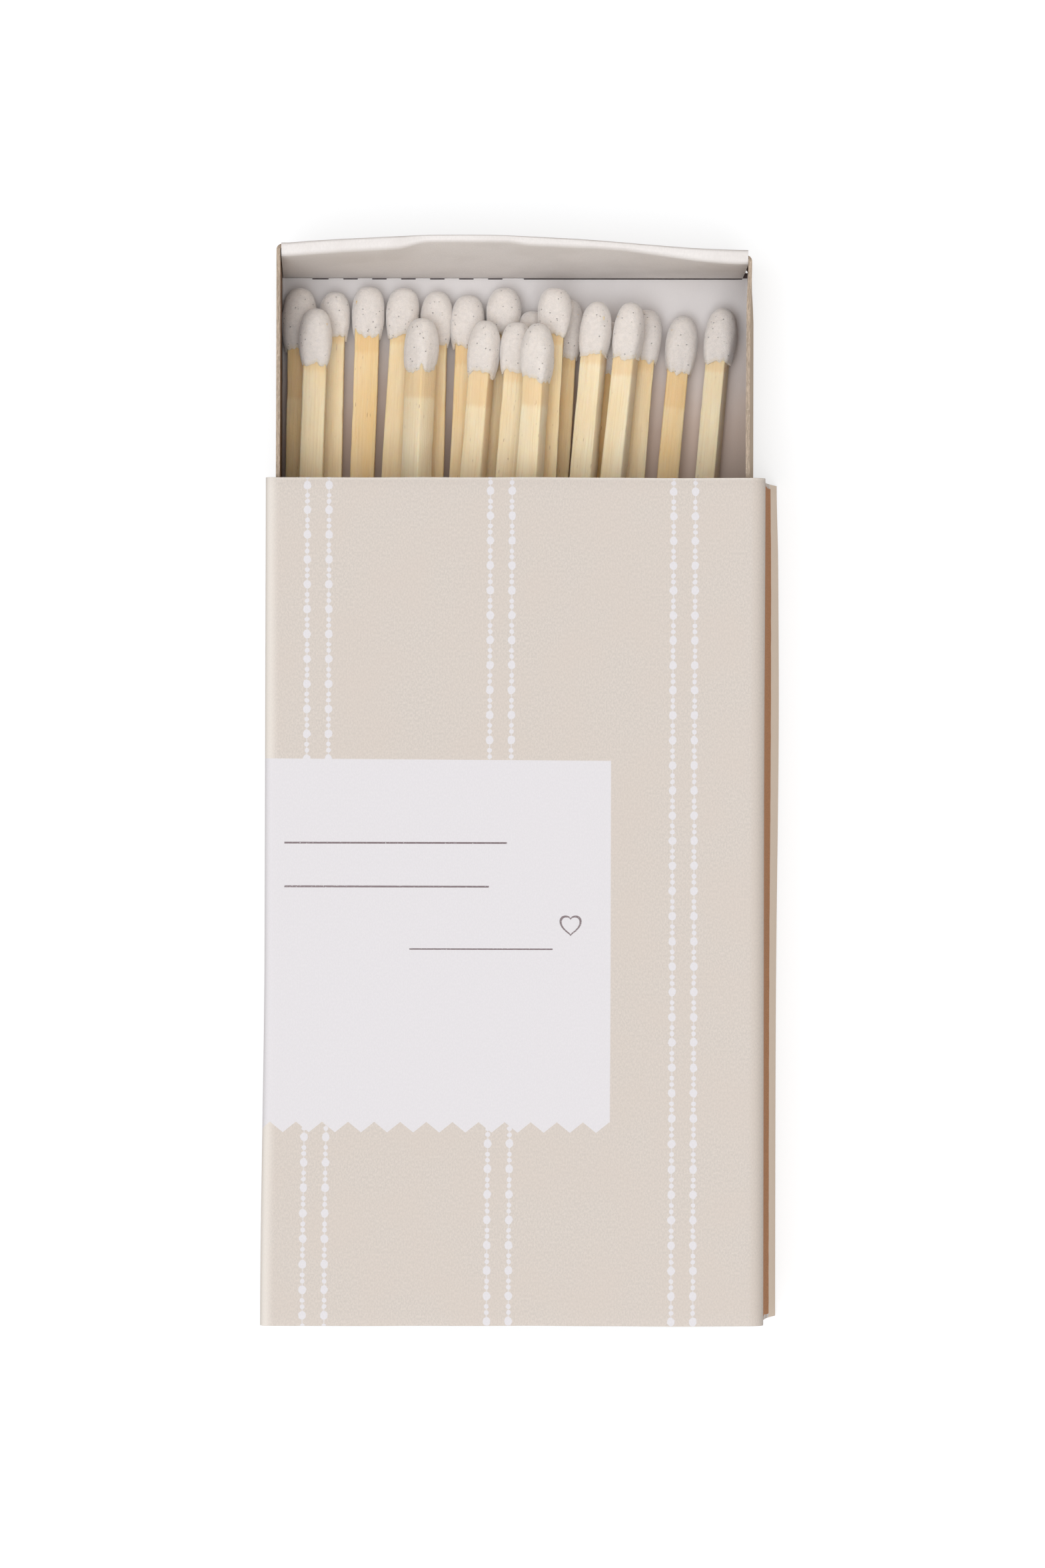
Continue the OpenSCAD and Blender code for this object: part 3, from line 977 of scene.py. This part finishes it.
def turn_inward(bm, middle):
    """Turns each joined sheet so that its lined side is its front: the floor's faces look
    up, and an end strip's first panel looks into the tray."""
    seen = set()
    for face in bm.faces:
        if face in seen:
            continue
        island, queue = [], [face]
        seen.add(face)
        while queue:
            current = queue.pop()
            island.append(current)
            for edge in current.edges:
                for other in edge.link_faces:
                    if other not in seen:
                        seen.add(other)
                        queue.append(other)
        nearest = min(island, key=lambda f: (f.calc_center_median() - middle).length)
        inward = middle - nearest.calc_center_median()
        if nearest.normal.dot(inward) < 0:
            bmesh.ops.reverse_faces(bm, faces=island)


# ---- Matches ----


# How each match differs: the warmth of its wood, how far below its head the wax has soaked
# in, how wide and how long its head is, how far its head and its middle have slipped to the
# right, all in millimetres, and how thick its stick is against the usual.
LOOKS = {
    1: (0.62, 6.0, 4.7, 8.4, -0.52, -0.68, 0.97), 2: (0.3, 0.6, 4.35, 7.3, 0.26, -0.09, 1.0),
    3: (0.3, 0.8, 4.0, 5.8, -0.17, -0.2, 0.92), 4: (0.72, 1.9, 4.3, 6.7, 0.09, -0.15, 1.02),
    5: (0.45, 0.8, 4.35, 6.4, 0.39, -0.17, 0.97), 6: (0.12, 3.4, 4.15, 6.85, 0.3, 0.17, 0.95),
    7: (0.5, 0.9, 4.2, 6.9, 0.5, 0.26, 0.97), 8: (0.5, 2.0, 4.5, 7.0, 0.39, 0.0, 0.97),
    9: (0.36, 0.8, 4.6, 6.0, 0.75, 0.1, 0.97), 10: (0.22, 3.9, 4.1, 7.1, 0.8, 0.62, 0.94),
    11: (0.25, 1.0, 4.2, 6.7, 0.3, 0.0, 0.95), 12: (0.18, 3.2, 4.2, 7.4, 0.43, 0.3, 0.95),
    13: (0.5, 1.0, 4.3, 7.0, 0.1, 0.1, 0.97), 14: (0.45, 1.0, 4.4, 6.2, 0.52, 0.85, 0.96),
    15: (0.62, 1.0, 4.2, 7.8, -0.1, -0.05, 0.97), 16: (0.12, 0.8, 4.0, 7.15, 0.65, 0.75, 0.96),
    17: (0.12, 2.0, 3.9, 7.5, 0.61, 0.4, 0.94), 18: (0.42, 1.0, 4.2, 6.8, 0.43, 0.35, 0.95),
    19: (0.6, 4.5, 4.2, 7.4, 0.56, 0.3, 0.95), 20: (0.15, 1.0, 4.1, 7.3, 0.78, 0.85, 0.86),
    21: (0.9, 1.0, 4.2, 7.0, 0.4, 0.4, 1.0),
}


class Match:
    """The lie of one match, read from its CAD stick and head, in millimetres."""

    def __init__(self, number, seed):
        self.name = f"match_{number:02d}"
        self.random = random.Random(seed * 1000 + number)
        corners = [v.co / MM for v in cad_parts[self.name + "_stick"].data.vertices]
        corners = [Vector(c) for c in {tuple(round(x, 4) for x in v) for v in corners}]
        far = sorted(corners, key=lambda c: c.y)[-4:]
        near = sorted(corners, key=lambda c: c.y)[:4]
        end = sum(far, Vector()) / 4
        foot = sum(near, Vector()) / 4
        self.along = (end - foot).normalized()
        self.stick_length = (end - foot).length
        first = max(far, key=lambda c: c.x + c.z)
        beside = sorted(far, key=lambda c: (c - first).length)[1]
        across = (first - beside).normalized()
        if abs(across.x) < abs(across.z):
            across = across.cross(self.along)
        if across.x < 0:
            across.negate()
        self.width = (first - beside).length
        up = across.cross(self.along)
        head = [v.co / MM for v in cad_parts[self.name + "_head"].data.vertices]
        reach = [(v - end).dot(self.along) for v in head]
        self.cover = max(reach)
        (self.warmth, self.wax, self.head_width, self.head_length,
         self.head_slip, self.middle_slip, self.thickness) = LOOKS[number]
        self.tip = end + self.along * self.cover
        self.turn = Matrix((across, self.along, up)).transposed()

    def placed(self, local):
        place = self.tip + self.turn @ local
        share = min(1, max(0, (place.y - 54) / (self.tip.y - 54)))
        place.x += self.middle_slip + (self.head_slip - self.middle_slip) * share
        return place


def build_stick(number, settings, material):
    """A sawn stick: square, warped, with rounded and splintered edges."""
    match = Match(number, settings.seed)
    pick = match.random
    half = match.width / 2
    start = -match.cover - match.stick_length
    bm = bmesh.new()
    bmesh.ops.create_cube(bm, size=1)
    bmesh.ops.scale(bm, vec=(match.width, match.stick_length, match.width), verts=bm.verts)
    bmesh.ops.translate(bm, vec=(0, start + match.stick_length / 2, 0), verts=bm.verts)
    long_edges = [e for e in bm.edges if abs(e.verts[0].co.y - e.verts[1].co.y) > 1]
    bmesh.ops.bevel(bm, geom=long_edges, offset=settings.edge / MM * pick.uniform(0.7, 1.5),
                    segments=2, profile=0.5, affect="EDGES", material=-1)
    long_edges = [e for e in bm.edges if abs(e.verts[0].co.y - e.verts[1].co.y) > 1]
    bmesh.ops.subdivide_edges(bm, edges=long_edges, cuts=94, use_grid_fill=True)

    grain = bm.verts.layers.float_vector.new("grain")
    tint = bm.verts.layers.float.new("tint")
    waxed = bm.verts.layers.float.new("waxed")
    shift = Vector((pick.uniform(0, 90), pick.uniform(0, 900), pick.uniform(0, 90)))
    wax_end = -match.head_length - match.wax
    taper = pick.uniform(-0.05, 0.02)
    phase = pick.uniform(0, 60)
    warp = settings.warp / MM
    for vert in bm.verts:
        x, y, z = vert.co
        vert[grain] = vert.co + shift
        vert[tint] = match.warmth
        vert[waxed] = ramp(wax_end - 1.1, wax_end + 0.7, y)
        corner = (abs(x) / half) ** 3 * (abs(z) / half) ** 3
        side = Vector((math.copysign(1, x), 0, math.copysign(1, z)))
        chip = noise.noise(Vector((x * 0.6, y / 2.6, z * 0.6)) + shift)
        fray = 0.13 * corner * min(0, chip + 0.12)
        swell = 0.035 * noise.noise(Vector((side.x, y / 9, side.z)) + shift)
        size = match.thickness + taper * ramp(-30, -4, y) + swell
        bend_x = warp * noise.noise(Vector((y / 28, phase, 1.5)))
        bend_z = 0.4 * warp * noise.noise(Vector((y / 28, phase, 8.5)))
        vert.co = Vector((x * size + side.x * fray + bend_x, y, z * size + side.z * fray + bend_z))
    for vert in bm.verts:
        vert.co = match.placed(vert.co)
    finished(match.name + "_wood", bm, [material], TRAY_BODY,
             [match.name + "_stick"], crease=50)


def build_head(number, settings, material):
    """A dipped head: a blunt egg that follows the square stick, with a ragged lower edge."""
    match = Match(number, settings.seed)
    pick = random.Random(settings.seed * 77 + number)
    around, rings = 72, 44
    bm = bmesh.new()
    bmesh.ops.create_uvsphere(bm, u_segments=around, v_segments=rings, radius=1)
    clay = bm.verts.layers.float_vector.new("clay")
    edge = bm.verts.layers.float.new("edge")
    shift = Vector((pick.uniform(0, 90), pick.uniform(0, 90), pick.uniform(0, 90)))
    radius = match.head_width / 2
    stretch = match.head_length
    lean = pick.uniform(-0.16, 0.16)
    fat = pick.uniform(0.92, 1.08)
    waves = [(k, pick.uniform(0.3, 1) * settings.rag / MM / (1 + 0.16 * k), pick.uniform(0, 6.3))
             for k in (1, 2, 3, 5, 9, 13, 19)]
    skirt = match.width / 2 / radius
    for vert in bm.verts:
        way = math.acos(max(-1, min(1, vert.co.z)))
        angle = math.atan2(vert.co.y, vert.co.x)
        cos, sin = math.cos(angle), math.sin(angle)
        share = min(1, way / (0.86 * math.pi))
        tuck = max(0, way / math.pi - 0.86) / 0.14
        swing = share * 2.35
        down = ((1 - math.cos(swing)) / 1.703) ** (1.22 * fat)
        wide = math.sin(swing) ** (1 - 0.2 * share)
        wide = max(wide, (skirt + 0.07) * ramp(0.75, 1, share)) * (1 - 0.34 * tuck)
        square = 2.1 + 1.5 * ramp(0.4, 1, share)
        round_off = (abs(cos) ** square + abs(sin) ** square) ** (-1 / square)
        rag = sum(size * math.sin(k * angle + phase) for k, size, phase in waves)
        y = -stretch * down - rag * ramp(0.55, 1, share) + 0.25 * tuck
        lump = noise.noise(Vector((cos * 1.6, y / 1.5, sin * 1.6)) + shift)
        fine = noise.noise(Vector((cos * 5, y * 2.6, sin * 5)) + shift)
        body = wide * radius * round_off * (1 + 0.03 * lump + 0.008 * fine)
        if tuck > 0.5:
            body *= 1 - (tuck - 0.5) * 1.9
        local = Vector((cos * body + lean * (1 - share) * 0.6, y, sin * body))
        vert[clay] = local + shift
        vert[edge] = ramp(0.8, 1.0, share)
        vert.co = match.placed(local)
    bmesh.ops.recalc_face_normals(bm, faces=bm.faces)
    finished(match.name + "_tip", bm, [material], TRAY_BODY,
             [match.name + "_head"], crease=75)


# ---- Stage ----


def stage_floor(settings):
    """A pale floor that shows white to the camera but keeps the box's soft shadow."""
    finish = Finish.named("pale_floor")
    matt = finish.add("ShaderNodeBsdfDiffuse", {"Color": settings.floor})
    glow = finish.add("ShaderNodeEmission", {
        "Color": (1, 1, 1), "Strength": finish.looked_at() * 0.63})
    both = finish.add("ShaderNodeAddShader", {0: matt, 1: glow})
    finish.add("ShaderNodeOutputMaterial", {"Surface": both})
    bm = bmesh.new()
    bmesh.ops.create_grid(bm, x_segments=2, y_segments=2, size=6)
    bmesh.ops.translate(bm, vec=(0, 0, -0.0001), verts=bm.verts)
    floor = linked("floor", mesh_of("floor", bm, [finish.owner]))


def studio_sky(settings):
    """Even light from all round, which the camera sees as plain white."""
    world = bpy.data.worlds.new("studio")
    bpy.context.scene.world = world
    finish = Finish(world)
    light = finish.add("ShaderNodeBackground", {"Color": (1, 0.93, 0.85), "Strength": settings.sky})
    white = finish.add("ShaderNodeBackground", {"Color": (1, 1, 1), "Strength": 1})
    mix = finish.add("ShaderNodeMixShader", {0: finish.looked_at(), 1: light, 2: white})
    finish.add("ShaderNodeOutputWorld", {"Surface": mix})


def turned_to(location, target, roll):
    """The place of a lamp or camera that looks from location to target."""
    forward = (target - location).normalized()
    right = forward.cross(Vector((math.sin(roll), math.cos(roll), 0))).normalized()
    above = right.cross(forward)
    turn = Matrix((right, above, -forward)).transposed().to_4x4()
    return Matrix.Translation(location) @ turn


def far_lamp(name, strength, width, location, tint=(1, 1, 1)):
    """A lamp far off, whose width is the angle that it fills as seen from the box."""
    lamp = bpy.data.lights.new(name, "SUN")
    lamp.energy, lamp.angle, lamp.color = strength, width, tint
    linked(name, lamp).matrix_world = turned_to(Vector(location), Vector((0, 0, 0)), 0)


def studio_camera(settings):
    camera = bpy.data.cameras.new("camera")
    camera.lens = settings.lens
    camera.sensor_width = 36
    camera.clip_start = 0.01
    holder = linked("camera", camera)
    holder.matrix_world = turned_to(
        Vector((13.24, 5.0, 870.0)) * MM, Vector((1.13, 15.07, 20.0)) * MM, -0.0021)
    bpy.context.scene.camera = holder


# ---- Operators ----


class MATCHBOX_OT_sleeve(bpy.types.Operator):
    """Folds the printed sleeve round the frame"""

    bl_idname = "matchbox.sleeve"
    bl_label = "Sleeve"

    def execute(self, context):
        build_sleeve(context.scene.matchbox_sleeve)
        return {"FINISHED"}


class MATCHBOX_OT_striker(bpy.types.Operator):
    """Coats the striker onto the sleeve's side"""

    bl_idname = "matchbox.striker"
    bl_label = "Striker"

    def execute(self, context):
        build_striker(context.scene.matchbox_striker, context.scene.matchbox_sleeve)
        return {"FINISHED"}


class MATCHBOX_OT_tray(bpy.types.Operator):
    """Folds the tray with its slit crease and its bowed end"""

    bl_idname = "matchbox.tray"
    bl_label = "Tray"

    def execute(self, context):
        build_tray(context.scene.matchbox_tray)
        return {"FINISHED"}


class MATCHBOX_OT_sticks(bpy.types.Operator):
    """Saws the sticks and lays them in the tray"""

    bl_idname = "matchbox.sticks"
    bl_label = "Match sticks"

    def execute(self, context):
        settings = context.scene.matchbox_matches
        material = match_wood(settings)
        for number in LOOKS:
            build_stick(number, settings, material)
        return {"FINISHED"}


class MATCHBOX_OT_heads(bpy.types.Operator):
    """Dips a head onto every stick"""

    bl_idname = "matchbox.heads"
    bl_label = "Match heads"

    def execute(self, context):
        settings = context.scene.matchbox_matches
        material = head_composition(settings)
        for number in LOOKS:
            build_head(number, settings, material)
        return {"FINISHED"}


class MATCHBOX_OT_stage(bpy.types.Operator):
    """Sets up the floor, the light and the camera"""

    bl_idname = "matchbox.stage"
    bl_label = "Stage"

    def execute(self, context):
        settings = context.scene.matchbox_stage
        stage_floor(settings)
        studio_sky(settings)
        far_lamp("soft_lamp", settings.lamp, settings.softness, (-0.12, -0.13, 0.98),
                 (0.933, 1.008, 1.1))
        far_lamp("fill_lamp", settings.fill, math.radians(70), (0.1, -0.82, 0.56))
        studio_camera(settings)
        context.scene.view_settings.view_transform = "Standard"
        return {"FINISHED"}


class MATCHBOX_PT_panel(bpy.types.Panel):
    """Lists the steps that build the matchbox"""

    bl_idname = "MATCHBOX_PT_panel"
    bl_label = "Matchbox"
    bl_space_type = "VIEW_3D"
    bl_region_type = "UI"
    bl_category = "Matchbox"

    def draw(self, context):
        for step in STEPS:
            self.layout.operator(step.bl_idname)


STEPS = (
    MATCHBOX_OT_stage,
    MATCHBOX_OT_sleeve,
    MATCHBOX_OT_striker,
    MATCHBOX_OT_tray,
    MATCHBOX_OT_sticks,
    MATCHBOX_OT_heads,
)
SETTINGS = {
    "matchbox_sleeve": SleeveSettings,
    "matchbox_striker": StrikerSettings,
    "matchbox_tray": TraySettings,
    "matchbox_matches": MatchSettings,
    "matchbox_stage": StageSettings,
}


def register():
    for name, group in SETTINGS.items():
        bpy.utils.register_class(group)
        setattr(bpy.types.Scene, name, bpy.props.PointerProperty(type=group))
    for step in STEPS:
        bpy.utils.register_class(step)
    bpy.utils.register_class(MATCHBOX_PT_panel)


def unregister():
    bpy.utils.unregister_class(MATCHBOX_PT_panel)
    for step in reversed(STEPS):
        bpy.utils.unregister_class(step)
    for name, group in reversed(SETTINGS.items()):
        delattr(bpy.types.Scene, name)
        bpy.utils.unregister_class(group)


def main():
    register()
    bpy.ops.matchbox.stage()
    bpy.ops.matchbox.sleeve()
    bpy.ops.matchbox.striker()
    bpy.ops.matchbox.tray()
    bpy.ops.matchbox.sticks()
    bpy.ops.matchbox.heads()


if __name__ == "__main__":
    main()
